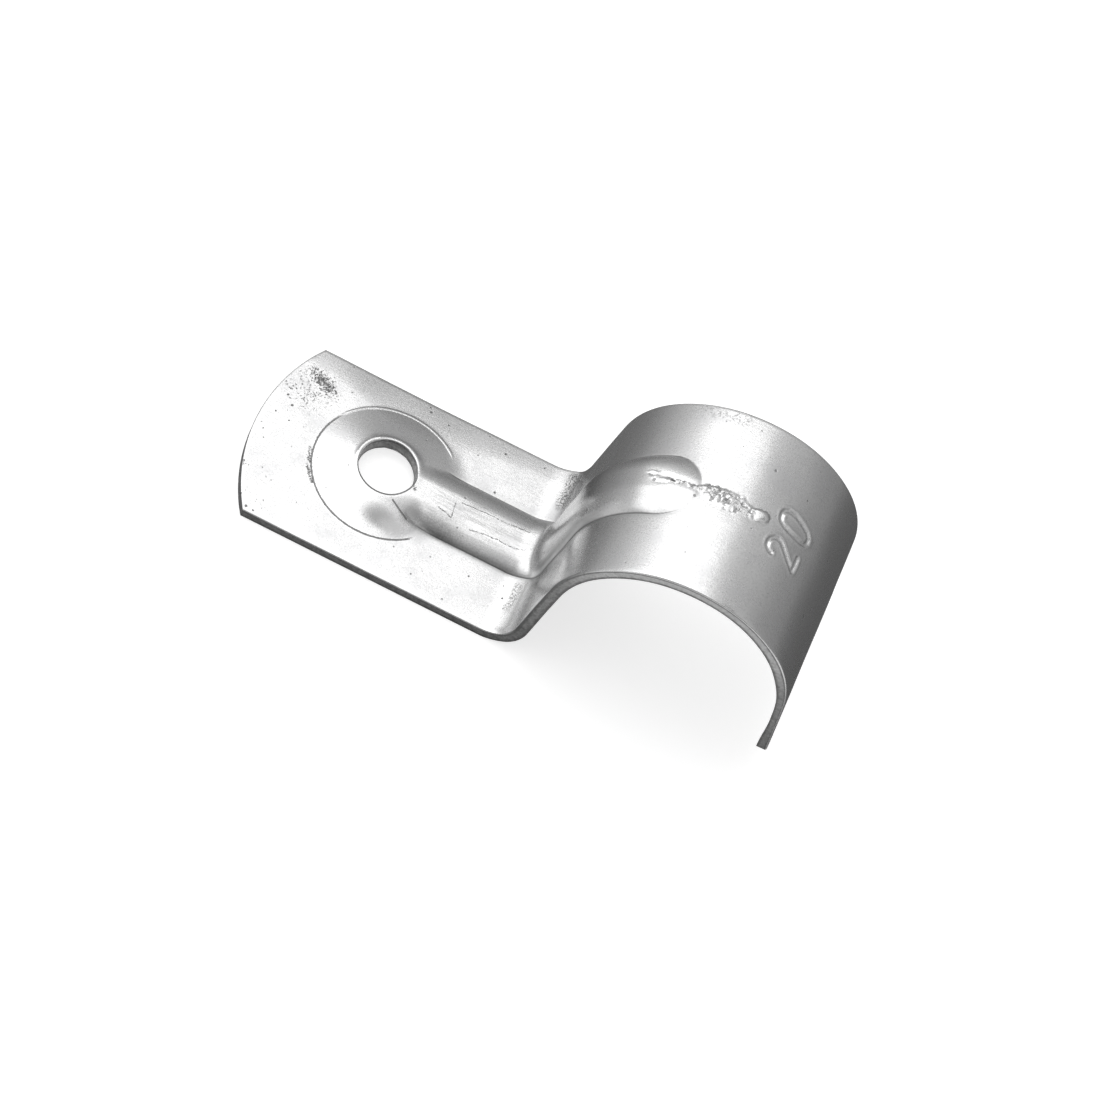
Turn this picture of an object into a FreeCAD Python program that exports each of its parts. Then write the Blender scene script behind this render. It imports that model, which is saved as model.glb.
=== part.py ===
import FreeCAD
import Part
import math
import os

# One-screw conduit strap, pressed and folded from a single strip of zinc-plated steel.
# A flat foot with a rounded end carries the screw hole on a low raised cone. A hollow
# pressed rib runs from that cone along the foot, up the fold and on to the back of the
# loop, where it ends in a round nose. The loop goes over the conduit and ends in a
# short free leg.
#
# All lengths are in millimetres and all angles in degrees. X runs from the foot's
# rounded end towards the loop, Y runs along the conduit and Z points away from the
# wall. The origin is on the conduit's axis, half way across the strip.

# The conduit and how the strap sits on it
conduit_diameter = 20.0
seat_clearance = 0.1        # radial gap between the conduit and the loop
pull_down = 0.26            # how far the screw still draws the foot on to the wall

# The strip
sheet_thickness = 1.06
strip_width = 18.9
edge_round = 0.15           # rounding that shearing leaves on the outer face's edges

# The side view
rise_angle = 83.8           # slope of the upright stretch between foot and loop
fold_radius = 2.78          # inside radius of the fold between foot and upright
leg_angle = 7.6             # where the loop's arc ends, above the conduit's level
leg_length = 7.12           # straight free end below the arc

# The foot
hole_to_axis = 27.7         # screw hole's centre to the conduit's axis, along the foot
hole_to_corner = 9.5        # screw hole's centre to the foot's two corners
end_radius = 18.1           # arc of the foot's rounded end
corner_round = 0.2

# The screw hole and the raised cone round it
hole_diameter = 5.1
hole_edge_round = 0.2       # rolled upper edge of the pierced hole
cone_diameter = 13.2
cone_height = 1.0           # height of the cone where the hole cuts it
hole_shift = 0.5            # the hole and its cone sit this far off the centre line

# The pressed rib
rib_width = 6.5             # between its two creases, on the outer face
rib_height = 1.05
rib_shoulder_radius = 2.5
rib_flank_angle = 50.0
nose_angle = 130.5          # centre of the round nose, as an angle round the loop
rib_shift = 0.15            # the rib runs this far off the strip's centre line

# Sizes that follow from the ones above
loop_inner = conduit_diameter / 2 + seat_clearance
loop_outer = loop_inner + sheet_thickness
foot_top = pull_down - conduit_diameter / 2 + sheet_thickness
slope = math.radians(rise_angle)
rise_drop = loop_outer * math.cos(slope) - fold_radius * (1 - math.cos(slope)) - foot_top
rise_length = rise_drop / math.sin(slope)
fold_x = -(loop_outer + fold_radius) * math.sin(slope) - rise_length * math.cos(slope)
fold_z = foot_top + fold_radius
corner_x = -(hole_to_axis + hole_to_corner)
end_centre_x = corner_x + math.sqrt(end_radius ** 2 - (strip_width / 2) ** 2)
blank_x = end_centre_x - end_radius - sheet_thickness   # the strip's end before shearing
rib_flank = math.radians(rib_flank_angle)
shoulder_inset = (rib_shoulder_radius * (1 - math.cos(rib_flank))
                  + rib_height * math.cos(rib_flank)) / math.sin(rib_flank)
rib_flat = rib_width / 2 - shoulder_inset
cone_slope = cone_height / ((cone_diameter - hole_diameter) / 2)
in_sheet = sheet_thickness / 2      # what is raised reaches down to here in the sheet
under_sheet = 3 * sheet_thickness   # what is hollowed out is cut from this far below

TOUCHING = 0.001            # a point this near to a face lies on it
SHARP_TURN = 45.0           # faces that turn by more than this meet at a sharp edge
ACROSS = FreeCAD.Vector(0, 1, 0)
UP = FreeCAD.Vector(0, 0, 1)
CONDUIT_CENTRE = FreeCAD.Vector(0, 0, 0)
FOLD_CENTRE = FreeCAD.Vector(fold_x, 0, fold_z)


class Station:
    """A place on the strip's outer face: a point of the side view and its normal."""

    def __init__(self, x, z, normal_angle):
        turn = math.radians(normal_angle)
        self.base = FreeCAD.Vector(x, 0, z)
        self.normal = FreeCAD.Vector(math.cos(turn), 0, math.sin(turn))
        self.forward = FreeCAD.Vector(math.sin(turn), 0, -math.cos(turn))

    def point(self, height=0.0, side=0.0):
        """The point at a height over the outer face and a distance across the strip."""
        return self.base + self.normal * height + ACROSS * side


def on_foot(x):
    """The station on the foot at a distance x from the conduit's axis."""
    return Station(x, foot_top, 90)


def on_fold(turned):
    """The station after a part of the fold, from 0 at the foot to rise_angle."""
    turn = math.radians(turned)
    x = fold_x + fold_radius * math.sin(turn)
    z = fold_z - fold_radius * math.cos(turn)
    return Station(x, z, 90 + turned)


def on_loop(angle):
    """The station at an angle round the conduit's axis."""
    turn = math.radians(angle)
    return Station(loop_outer * math.cos(turn), loop_outer * math.sin(turn), angle)


def on_leg(distance):
    """The station on the free leg at a distance below the end of the loop's arc."""
    start = on_loop(leg_angle)
    base = start.base + start.forward * distance
    return Station(base.x, base.z, leg_angle)


def side_edges(depth):
    """The lines and arcs of one face of the strip, at a depth below the outer face."""
    loop_start = 90 + rise_angle
    stations = [on_foot(blank_x),
                on_fold(0), on_fold(rise_angle / 2), on_fold(rise_angle),
                on_loop(loop_start), on_loop((loop_start + leg_angle) / 2), on_loop(leg_angle),
                on_leg(leg_length)]
    foot, fold_a, fold_b, fold_c, loop_a, loop_b, loop_c, leg = (
        station.point(height=-depth) for station in stations)
    return [Part.makeLine(foot, fold_a),
            Part.Arc(fold_a, fold_b, fold_c).toShape(),
            Part.makeLine(fold_c, loop_a),
            Part.Arc(loop_a, loop_b, loop_c).toShape(),
            Part.makeLine(loop_c, leg)]


def folded_strip():
    """The plain strip, folded but not yet sheared or pressed."""
    outer = side_edges(0)
    inner = side_edges(sheet_thickness)
    foot_cut = Part.makeLine(outer[0].firstVertex().Point, inner[0].firstVertex().Point)
    leg_cut = Part.makeLine(outer[-1].lastVertex().Point, inner[-1].lastVertex().Point)
    edges = Part.__sortEdges__(outer + inner + [foot_cut, leg_cut])
    side_view = Part.Face(Part.Wire(edges))
    side_view.translate(ACROSS * (-strip_width / 2))
    return side_view.extrude(ACROSS * strip_width)


def foot_end_waste():
    """What is sheared off beyond the foot's rounded end."""
    low = foot_top - 2 * sheet_thickness
    tall = 4 * sheet_thickness
    start_x = blank_x - sheet_thickness
    corner = FreeCAD.Vector(start_x, -strip_width, low)
    block = Part.makeBox(end_centre_x - start_x, 2 * strip_width, tall, corner)
    disc = Part.makeCylinder(end_radius, tall, FreeCAD.Vector(end_centre_x, 0, low))
    return block.cut(disc)


def is_foot_corner(edge):
    """Whether an edge is one of the foot's two upright corners."""
    box = edge.BoundBox
    upright = box.ZLength > sheet_thickness / 2 > max(box.XLength, box.YLength)
    return upright and box.XMax < -hole_to_axis


def is_on_face(edge, face):
    """Whether the middle of an edge lies on a face of the strip."""
    middle = edge.valueAt((edge.FirstParameter + edge.LastParameter) / 2)
    return face.distToShape(Part.Vertex(middle))[0] < TOUCHING


def is_sharp(edge, solid):
    """Whether two faces meet at an edge without running smoothly into each other."""
    middle = edge.valueAt((edge.FirstParameter + edge.LastParameter) / 2)
    normals = []
    for face in solid.ancestorsOfType(edge, Part.Face):
        u, v = face.Surface.parameter(middle)
        normals.append(face.normalAt(u, v))
    return len(normals) == 2 and math.degrees(normals[0].getAngle(normals[1])) > SHARP_TURN


def sheared_strip():
    """The folded strip with its rounded foot end and the rounding of its outer edges."""
    strip = folded_strip().cut(foot_end_waste())
    corners = [edge for edge in strip.Edges if is_foot_corner(edge)]
    strip = strip.makeFillet(corner_round, corners)
    outer_face = Part.Wire(side_edges(0)).extrude(ACROSS * strip_width)
    outer_face.translate(ACROSS * (-strip_width / 2))
    outline = [edge for edge in strip.Edges
               if is_on_face(edge, outer_face) and is_sharp(edge, strip)]
    return strip.makeFillet(edge_round, outline)


def rib_outline(depth, bottom):
    """Half of the rib's section as pairs of distance across and height.

    The points are the edge of the flat crown, the middle and the end of the shoulder's
    arc, and the flank's foot at the level called bottom. A depth of 0 gives the outside
    of the rib, and sheet_thickness gives the hollow under it.
    """
    radius = rib_shoulder_radius - depth
    top = rib_height - depth
    half_flank = rib_flank / 2
    middle = (rib_flat + radius * math.sin(half_flank), top - radius * (1 - math.cos(half_flank)))
    end = (rib_flat + radius * math.sin(rib_flank), top - radius * (1 - math.cos(rib_flank)))
    foot = (end[0] + (end[1] - bottom) / math.tan(rib_flank), bottom)
    return (rib_flat, top), middle, end, foot


def rib_section(station, depth, bottom):
    """The rib's full section as a face across the strip at a station."""
    crown, middle, end, foot = rib_outline(depth, bottom)

    def far(place):
        return station.point(height=place[1], side=rib_shift + place[0])

    def near(place):
        return station.point(height=place[1], side=rib_shift - place[0])

    edges = [Part.makeLine(near(crown), far(crown)),
             Part.Arc(far(crown), far(middle), far(end)).toShape(),
             Part.makeLine(far(end), far(foot)),
             Part.makeLine(far(foot), near(foot)),
             Part.makeLine(near(foot), near(end)),
             Part.Arc(near(end), near(middle), near(crown)).toShape()]
    return Part.Face(Part.Wire(edges))


def rib_nose(depth):
    """The rib's round end: half of its section turned about the loop's own normal."""
    station = on_loop(nose_angle)
    crown, middle, end, foot = rib_outline(depth, -under_sheet)

    def at(place):
        return station.point(height=place[1], side=rib_shift + place[0])

    top_centre = at((0, crown[1]))
    low_centre = at((0, foot[1]))
    edges = [Part.makeLine(top_centre, at(crown)),
             Part.Arc(at(crown), at(middle), at(end)).toShape(),
             Part.makeLine(at(end), at(foot)),
             Part.makeLine(at(foot), low_centre),
             Part.makeLine(low_centre, top_centre)]
    return Part.Face(Part.Wire(edges)).revolve(top_centre, station.normal, 360)


def raised_nose():
    """The outside of the rib's round end, kept out of the conduit's space."""
    inside = Part.makeCylinder(loop_outer - in_sheet, 2 * strip_width,
                               ACROSS * (-strip_width), ACROSS)
    return rib_nose(0).cut(inside)


def cone_tool(depth, bottom):
    """The raised cone round the hole, or the hollow under it, down to a level."""
    slant = math.sqrt(1 + cone_slope ** 2)
    rim_height = cone_height - depth * slant
    rim_radius = hole_diameter / 2
    low_radius = rim_radius + (rim_height - bottom) / cone_slope
    foot = FreeCAD.Vector(-hole_to_axis, hole_shift, foot_top + bottom)
    return Part.makeCone(low_radius, rim_radius, rim_height - bottom, foot, UP)


def rib_and_cone(depth, bottom, nose):
    """The cone and the rib with its nose as one solid, raised or hollow."""
    upright = on_fold(rise_angle)
    foot_run = FreeCAD.Vector(fold_x + hole_to_axis, 0, 0)
    loop_turn = 90 + rise_angle - nose_angle
    on_foot_part = rib_section(on_foot(-hole_to_axis), depth, bottom).extrude(foot_run)
    on_fold_part = rib_section(on_fold(0), depth, bottom).revolve(FOLD_CENTRE, ACROSS, -rise_angle)
    on_rise_part = rib_section(upright, depth, bottom).extrude(upright.forward * rise_length)
    loop_section = rib_section(on_loop(90 + rise_angle), depth, bottom)
    on_loop_part = loop_section.revolve(CONDUIT_CENTRE, ACROSS, loop_turn)
    cone = cone_tool(depth, bottom)
    return cone.fuse([on_foot_part, on_fold_part, on_rise_part, on_loop_part, nose])


def hole_tool():
    """The punch for the screw hole, flared at the top for the rolled edge."""
    radius = hole_diameter / 2
    outer = radius + hole_edge_round
    bend = hole_edge_round * (1 - math.sqrt(0.5))
    wall_top = cone_height - hole_edge_round
    above = cone_height + rib_height

    def at(distance, height):
        return FreeCAD.Vector(distance - hole_to_axis, hole_shift, foot_top + height)

    rolled_edge = Part.Arc(at(radius, wall_top), at(radius + bend, cone_height - bend),
                           at(outer, cone_height)).toShape()
    edges = [Part.makeLine(at(0, -under_sheet), at(radius, -under_sheet)),
             Part.makeLine(at(radius, -under_sheet), at(radius, wall_top)),
             rolled_edge,
             Part.makeLine(at(outer, cone_height), at(outer, above)),
             Part.makeLine(at(outer, above), at(0, above)),
             Part.makeLine(at(0, above), at(0, -under_sheet))]
    return Part.Face(Part.Wire(edges)).revolve(at(0, 0), UP, 360)


def make_strap():
    """The whole strap: sheared and folded strip, pressed rib and cone, pierced hole."""
    raised = sheared_strip().fuse(rib_and_cone(0, -in_sheet, raised_nose()))
    hollow_tool = rib_and_cone(sheet_thickness, -under_sheet, rib_nose(sheet_thickness))
    pierced = raised.cut(hollow_tool).cut(hole_tool())
    return pierced.removeSplitter()


strap = make_strap()
os.makedirs("parts", exist_ok=True)
strap.exportStep("parts/strap.step")
print("strap: valid", strap.isValid(), "solids", len(strap.Solids),
      "volume mm3", round(strap.Volume, 1))
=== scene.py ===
"""Looks of a pressed, zinc-plated conduit strap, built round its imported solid.

One strip of sheet steel carries everything: a foot with a rounded end, a raised cone
round the screw hole, a hollow rib over the fold, and the loop with its free leg. Lengths
here are in millimetres unless a name says otherwise, and the meshes are in metres.
"""
import logging
import math
from dataclasses import dataclass, field
from enum import Enum

import bpy
import numpy as np
from mathutils import Matrix, Vector, noise


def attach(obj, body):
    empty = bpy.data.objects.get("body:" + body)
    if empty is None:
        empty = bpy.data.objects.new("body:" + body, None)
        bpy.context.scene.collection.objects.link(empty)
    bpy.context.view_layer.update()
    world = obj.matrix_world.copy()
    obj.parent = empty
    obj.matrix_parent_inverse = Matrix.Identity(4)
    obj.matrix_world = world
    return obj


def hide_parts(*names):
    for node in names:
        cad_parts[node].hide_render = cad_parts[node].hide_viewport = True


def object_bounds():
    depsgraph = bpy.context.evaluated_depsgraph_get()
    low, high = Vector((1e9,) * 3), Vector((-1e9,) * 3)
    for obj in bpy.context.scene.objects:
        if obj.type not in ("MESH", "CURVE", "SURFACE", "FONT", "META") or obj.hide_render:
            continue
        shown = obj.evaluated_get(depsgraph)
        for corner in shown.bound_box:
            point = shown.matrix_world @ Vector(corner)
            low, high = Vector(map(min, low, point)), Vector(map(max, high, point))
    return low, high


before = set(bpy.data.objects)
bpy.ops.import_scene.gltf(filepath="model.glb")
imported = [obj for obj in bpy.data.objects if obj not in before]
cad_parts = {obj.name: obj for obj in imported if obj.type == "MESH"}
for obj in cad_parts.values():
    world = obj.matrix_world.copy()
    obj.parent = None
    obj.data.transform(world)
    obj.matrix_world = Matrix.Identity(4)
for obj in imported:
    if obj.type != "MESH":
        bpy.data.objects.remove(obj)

CAD_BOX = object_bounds()
METRES = 0.001
HAIR = 1e-6
GRID_SLACK = 1e-4
FAR_AWAY = 1e9
IMAGE_SIDE = 1100

FIELDS = ("crease", "crease_shade", "crust")

log = logging.getLogger("conduit_strap")
Array = np.ndarray


class Skin(Enum):
    """Which finish a face of the strip has, as the number of its material slot."""

    PLATED = 0
    SHEARED = 1


def smooth_step(value: Array, start: float, stop: float) -> Array:
    """A soft step from 0 at start to 1 at stop."""
    t = np.clip((value - start) / (stop - start), 0.0, 1.0)
    return t * t * (3.0 - 2.0 * t)


def lines_between(stops: list[tuple[float, float]]) -> Array:
    """Grid lines along one direction of the flat strip.

    Args:
        stops: Places in order, each with the spacing that follows it. The last
            spacing isn't used.

    Returns:
        The places of all lines, with every stop among them.
    """
    parts = []
    for (start, spacing), (end, _) in zip(stops[:-1], stops[1:]):
        count = max(1, round((end - start) / spacing))
        parts.append(np.linspace(start, end, count, endpoint=False))
    parts.append(np.array([stops[-1][0]]))
    return np.concatenate(parts)


def distance_to_path(x: Array, y: Array, path: list[tuple[float, float]]) -> tuple[Array, Array]:
    """How far points lie from a path of straight runs.

    Args:
        x: First coordinate of the points.
        y: Second coordinate of the points.
        path: The path's own points in order.

    Returns:
        The distances, and the share of the path's length that the nearest place is at.
    """
    best = np.full(x.shape, FAR_AWAY)
    share = np.zeros(x.shape)
    lengths = [math.dist(a, b) for a, b in zip(path[:-1], path[1:])]
    total = sum(lengths)
    done = 0.0
    for (ax, ay), (bx, by), length in zip(path[:-1], path[1:], lengths):
        t = ((x - ax) * (bx - ax) + (y - ay) * (by - ay)) / length ** 2
        t = np.clip(t, 0.0, 1.0)
        gap = np.hypot(x - ax - t * (bx - ax), y - ay - t * (by - ay))
        nearer = gap < best
        best = np.where(nearer, gap, best)
        share = np.where(nearer, (done + t * length) / total, share)
        done += length
    return best, share


@dataclass(frozen=True)
class SideView:
    """The strip's outer face from the side: foot, fold, upright, loop and free leg.

    A place along it is its run, the distance along the outer face. On the foot the run
    is the same as the distance X from the conduit's axis.
    """

    loop_radius: float = 11.16
    foot_level: float = -8.68
    rise_angle: float = 83.8
    fold_radius: float = 2.78
    leg_angle: float = 7.6
    leg_length: float = 7.12

    @property
    def slope(self) -> float:
        """The upright's slope in radians."""
        return math.radians(self.rise_angle)

    @property
    def rise_length(self) -> float:
        """Length of the straight upright between the fold and the loop."""
        drop = self.loop_radius * math.cos(self.slope) - self.foot_level
        drop -= self.fold_radius * (1 - math.cos(self.slope))
        return drop / math.sin(self.slope)

    @property
    def fold_start(self) -> float:
        """Run at which the fold starts, which is also its X."""
        reach = (self.loop_radius + self.fold_radius) * math.sin(self.slope)
        return -reach - self.rise_length * math.cos(self.slope)

    @property
    def rise_start(self) -> float:
        """Run at which the fold ends and the upright starts."""
        return self.fold_start + self.fold_radius * self.slope

    @property
    def loop_start(self) -> float:
        """Run at which the loop's arc starts."""
        return self.rise_start + self.rise_length

    @property
    def leg_start(self) -> float:
        """Run at which the loop's arc ends."""
        return self.on_loop(self.leg_angle)

    @property
    def leg_end(self) -> float:
        """Run of the free leg's end."""
        return self.leg_start + self.leg_length

    def on_loop(self, angle: float) -> float:
        """The run at an angle round the conduit's axis, in degrees."""
        return self.loop_start + self.loop_radius * math.radians(90 + self.rise_angle - angle)

    def stations(self, run: Array) -> tuple[Array, Array, Array]:
        """Places along the outer face.

        Args:
            run: Distances along the outer face.

        Returns:
            X, Z and the angle of the outward normal in radians.
        """
        turn = np.clip((run - self.fold_start) / self.fold_radius, 0.0, self.slope)
        up = np.clip(run - self.rise_start, 0.0, self.rise_length)
        loop = np.clip((run - self.loop_start) / self.loop_radius, 0.0,
                       (self.leg_start - self.loop_start) / self.loop_radius)
        leg = np.clip(run - self.leg_start, 0.0, None)
        fold_x = np.minimum(run, self.fold_start) + self.fold_radius * np.sin(turn)
        fold_z = self.foot_level + self.fold_radius * (1 - np.cos(turn))
        x = fold_x + up * math.cos(self.slope)
        z = fold_z + up * math.sin(self.slope)
        angle = math.pi / 2 + self.slope - loop
        on_arc = run > self.loop_start
        x = np.where(on_arc, self.loop_radius * np.cos(angle), x)
        z = np.where(on_arc, self.loop_radius * np.sin(angle), z)
        normal = np.where(on_arc, angle, math.pi / 2 + turn)
        return x + leg * np.sin(normal), z - leg * np.cos(normal), normal


@dataclass(frozen=True)
class FootEnd:
    """The foot's rounded end and the screw hole in it."""

    hole_x: float = -27.7
    hole_y: float = 0.5
    hole_radius: float = 2.55
    hole_blend: float = 3.6
    flare: float = 0.26
    flare_turn: float = math.radians(112.0)
    end_centre_x: float = -21.763
    end_radius: float = 18.1
    end_zone: float = -34.9

    @property
    def tip(self) -> float:
        """X of the foot's farthest point."""
        return self.end_centre_x - self.end_radius

    def rounded(self, run: Array, across: Array) -> Array:
        """Moves the last rows of the foot on to the arc of its rounded end.

        Args:
            run: Distances along the outer face.
            across: Distances across the strip.

        Returns:
            The new distances along the outer face.
        """
        end = self.end_centre_x - np.sqrt(self.end_radius ** 2 - across ** 2)
        share = np.clip((run - self.tip) / (self.end_zone - self.tip), 0.0, 1.0)
        return np.where(run < self.end_zone, end + (self.end_zone - end) * share, run)

    def flared(self, away: float, turn: float) -> float:
        """How far the pressing has drawn the hole's upper rim outwards.

        Args:
            away: Distance from the hole's centre.
            turn: Direction from the centre in radians.

        Returns:
            The shift away from the centre.
        """
        fade = float(1 - smooth_step(np.float64(away), self.hole_radius, self.hole_blend))
        return self.flare * (0.5 + 0.5 * math.cos(turn - self.flare_turn)) ** 1.5 * fade

    def pulled_round(self, run: Array, across: Array) -> tuple[Array, Array]:
        """Turns the square of grid lines at the hole into circles round it.

        Args:
            run: Distances along the outer face.
            across: Distances across the strip.

        Returns:
            The new distances along and across the strip.
        """
        p = run - self.hole_x
        q = across - self.hole_y
        ring = np.maximum(np.abs(p), np.abs(q))
        safe = np.maximum(ring, HAIR)
        flat = np.where(np.abs(p) >= np.abs(q), q / safe, p / safe)
        turn = flat * math.pi / 4
        along = ring * np.cos(turn)
        aside = ring * np.sin(turn)
        on_sides = np.abs(p) >= np.abs(q)
        round_p = np.where(on_sides, np.sign(p) * along, aside)
        round_q = np.where(on_sides, aside, np.sign(q) * along)
        share = 1 - smooth_step(ring, self.hole_radius + 0.2, self.hole_blend)
        return (self.hole_x + p + (round_p - p) * share,
                self.hole_y + q + (round_q - q) * share)


@dataclass(frozen=True)
class PressedRib:
    """The hollow rib and the raised cone, as heights over the strip's outer face."""

    half_width: float = 3.25
    height: float = 1.05
    shoulder: float = 3.4
    flank: float = math.radians(50.0)
    shift: float = 0.15
    nose_angle: float = 126.3
    nose_length: float = 3.35
    nose_fall: float = 0.62
    fall_start: float = -1.9
    level_tip: float = 0.95
    outside: float = -1.2
    cone_radius: float = 6.62
    cone_height: float = 1.0
    ring_softness: float = 0.22
    joint_softness: float = 0.7
    joint_runs: tuple = (-24.4, -22.6)
    joint_width: float = 0.22
    joint_height: float = 0.055
    joint_depth: float = 0.2
    lip_width: float = 0.3
    lip_slope: float = 0.35
    lip_height: float = 0.12
    crease_depth: float = 0.02
    crease_width: float = 0.07
    # Width of the band of painted shade along the rib's foot.
    crease_shade_width: float = 0.42

    @property
    def flat(self) -> float:
        """Half the width of the rib's flat crown."""
        inset = self.shoulder * (1 - math.cos(self.flank)) + self.height * math.cos(self.flank)
        return self.half_width - inset / math.sin(self.flank)

    def section(self, aside: Array) -> Array:
        """The section's height at a distance from the middle, below zero outside it.

        Args:
            aside: Distances from the rib's middle.

        Returns:
            Heights over the outer face.
        """
        out = np.clip(np.abs(aside) - self.flat, 0.0, self.shoulder * math.sin(self.flank))
        arc = self.height - self.shoulder + np.sqrt(self.shoulder ** 2 - out ** 2)
        beyond = np.abs(aside) - self.flat - self.shoulder * math.sin(self.flank)
        return arc - np.clip(beyond, 0.0, None) * math.tan(self.flank)

    def full(self, ahead: Array, across: Array) -> Array:
        """Height of a rib of even height with its round nose, below zero outside.

        Args:
            ahead: Distance past the nose's centre along the loop.
            across: Distance across the strip.

        Returns:
            Heights over the outer face.
        """
        aside = (across - self.shift) / self.half_width
        away = np.hypot(np.clip(ahead, 0.0, None) / self.nose_length, aside)
        return self.section(away * self.half_width)

    def rib(self, run: Array, across: Array, side: SideView, start: float) -> Array:
        """Height of the rib, whose crown falls gently towards the nose's tip.

        Args:
            run: Distances along the outer face.
            across: Distances across the strip.
            side: The strip's side view.
            start: Run at which the rib starts, inside the cone.

        Returns:
            Heights over the outer face, below zero outside the rib.
        """
        ahead = run - side.on_loop(self.nose_angle)
        stop = self.nose_length - self.level_tip
        fall = self.nose_fall * smooth_step(ahead, self.fall_start, stop)
        return np.where(run < start, self.outside, self.full(ahead, across) * (1 - fall))

    def cone_slope(self, foot: FootEnd) -> float:
        """How far the cone falls per millimetre away from the hole."""
        return self.cone_height / (self.cone_radius - foot.hole_radius)

    def cone(self, run: Array, across: Array, foot: FootEnd) -> Array:
        """Height of the cone round the hole with its flat lip, below zero outside its ring.

        Args:
            run: Distances along the outer face.
            across: Distances across the strip.
            foot: The foot's rounded end and its screw hole.

        Returns:
            Heights over the outer face.
        """
        away = np.hypot(run - foot.hole_x, across - foot.hole_y)
        turn = np.arctan2(across - foot.hole_y, run - foot.hole_x)
        lip_edge = foot.hole_radius + self.lip_width
        raised = smooth_step(np.cos(turn - foot.flare_turn), -0.3, 0.7)
        lip = raised * (1 - smooth_step(away, lip_edge, lip_edge + self.lip_slope))
        slant = (self.cone_radius - np.maximum(away, lip_edge)) * self.cone_slope(foot)
        return slant + lip * self.lip_height

    def relief(self, run: Array, across: Array, side: SideView, foot: FootEnd) -> Array:
        """Height of cone and rib together, with the coined lines along their creases.

        Args:
            run: Distances along the outer face.
            across: Distances across the strip.
            side: The strip's side view.
            foot: The foot's rounded end and its screw hole.

        Returns:
            Heights over the outer face.
        """
        rib = self.rib(run, across, side, foot.hole_x)
        cone = self.cone(run, across, foot)
        at_rib = smooth_step(run, *self.joint_runs)
        soft = (self.ring_softness + self.joint_softness * at_rib) * self.cone_slope(foot)
        eased = np.where(np.abs(cone) < soft, (cone + soft) ** 2 / (4 * soft),
                         np.clip(cone, 0.0, None))
        ridge = np.clip(rib, 0.0, None)
        meeting = np.clip(1 - np.abs(ridge - eased) / self.joint_width, 0.0, 1.0)
        both = np.clip(np.minimum(ridge, eased) / self.joint_depth, 0.0, 1.0)
        joined = np.maximum(ridge, eased) + meeting ** 2 * self.joint_height * both
        return joined - self.crease_depth * self.crease(run, across, side, foot)

    def crease(self, run: Array, across: Array, side: SideView, foot: FootEnd,
               width: float | None = None) -> Array:
        """How near a place is to the line at the rib's foot, from 0 to 1.

        Args:
            run: Distances along the outer face.
            across: Distances across the strip.
            side: The strip's side view.
            foot: The foot's end, whose cone hides the line.
            width: Width of the line, or none for the crease's own.

        Returns:
            1 on the line and 0 away from it.
        """
        ahead = run - side.on_loop(self.nose_angle)
        rib = np.where(run < foot.hole_x, self.outside, self.full(ahead, across))
        reach = (width or self.crease_width) * math.tan(self.flank)
        clear = 1 - smooth_step(self.cone(run, across, foot), 0.12, 0.4)
        faint = 1 - 0.5 * smooth_step(ahead, 1.0, 2.6)
        return np.exp(-(rib / reach) ** 2) * clear * faint


@dataclass(frozen=True)
class SizeDigits:
    """The stamped size number 20, as strokes of loop angle and distance across."""

    nought: tuple = ((71.7, 1.5), (72.0, 1.95), (71.2, 2.35), (69.2, 2.6), (65.2, 2.66),
                     (59.8, 2.42), (56.2, 2.2), (54.3, 1.86), (54.1, 1.42), (55.3, 1.08),
                     (57.6, 0.9), (62.0, 0.86), (66.0, 0.9), (69.2, 1.02), (71.0, 1.22),
                     (71.7, 1.5))
    two: tuple = ((69.6, -2.06), (71.2, -1.98), (72.6, -1.7), (72.9, -1.25), (72.2, -0.84),
                  (70.6, -0.54), (68.6, -0.42), (66.6, -0.54), (64.2, -0.9), (60.2, -1.5),
                  (56.0, -2.02), (55.6, -1.3), (55.7, -0.55))
    half_width: float = 0.2
    depth: float = 0.12
    lip: float = 0.03

    def relief(self, run: Array, across: Array, side: SideView) -> Array:
        """Depth of the stamped strokes and the slight lip that they push up.

        Args:
            run: Distances along the outer face.
            across: Distances across the strip.
            side: The strip's side view.

        Returns:
            Heights over the outer face, below zero in the strokes.
        """
        gap = np.full(run.shape, FAR_AWAY)
        for stroke in (self.nought, self.two):
            path = [(side.on_loop(angle), place) for angle, place in stroke]
            gap = np.minimum(gap, distance_to_path(run, across, path)[0])
        groove = 1 - smooth_step(gap, 0.25 * self.half_width, 1.25 * self.half_width)
        lip = np.exp(-((gap - 1.75 * self.half_width) / (0.5 * self.half_width)) ** 2)
        return self.lip * lip - self.depth * groove


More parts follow.
